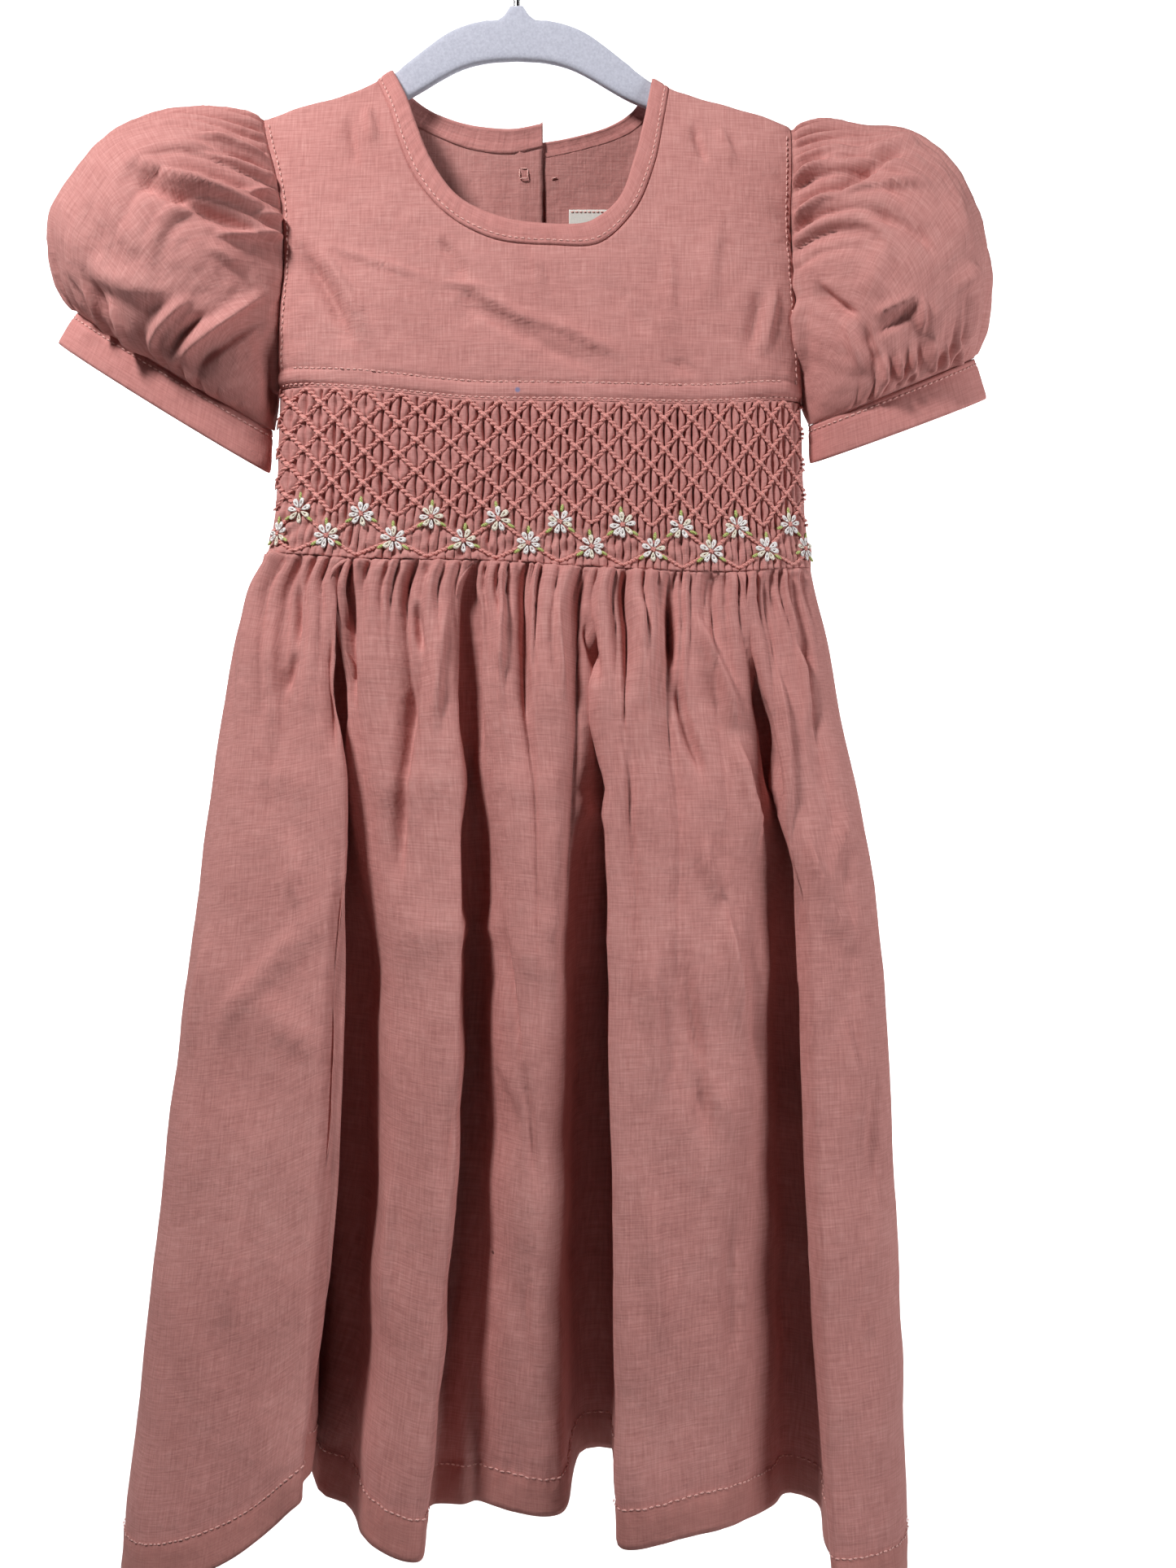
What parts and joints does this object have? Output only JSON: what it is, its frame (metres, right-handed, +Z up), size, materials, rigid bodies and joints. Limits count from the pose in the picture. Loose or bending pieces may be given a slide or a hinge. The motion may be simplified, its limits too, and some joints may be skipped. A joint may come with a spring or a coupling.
{
  "type": "smocked dress on a hanger",
  "caption": "Child's cotton dress with puff sleeves, a smocked and embroidered waist panel and a gathered skirt, hanging open and hollow on a flocked hanger with a wire hook.",
  "frame": {"origin": "inside top of the hook, on the centreline of the hanger, where it hangs on a rail", "axes": "+Z up, the dress's front towards -Y, the wearer's left towards +X"},
  "size_m": [0.4763, 0.1835, 0.8451],
  "materials": {
    "rose_cotton": "fine plain-weave cotton, matte",
    "rose_trim": "doubled plain-weave cotton, topstitched",
    "smocked_cotton": "pleated cotton with raised smocking stitches",
    "hanger_flock": "grey-lavender flock on moulded plastic",
    "hook_steel": "polished wire",
    "button_resin": "polished polyester resin",
    "label_tape": "woven white tape"
  },
  "bodies": {
    "root": {"hanger": "hanger_flock", "hook": "hook_steel", "front_yoke": "rose_cotton", "front_neck_binding": "rose_trim", "back_left": "rose_cotton", "back_right": "rose_cotton", "back_neck_binding_left": "rose_trim", "back_neck_binding_right": "rose_trim", "smocked_front": "smocked_cotton", "front_skirt": "rose_cotton", "back_skirt": "rose_cotton", "sleeve_left": "rose_cotton", "sleeve_right": "rose_cotton", "cuff_left": "rose_trim", "cuff_right": "rose_trim", "button_1": "button_resin", "button_2": "button_resin", "button_3": "button_resin", "label": "label_tape"}
  },
  "joints": []
}
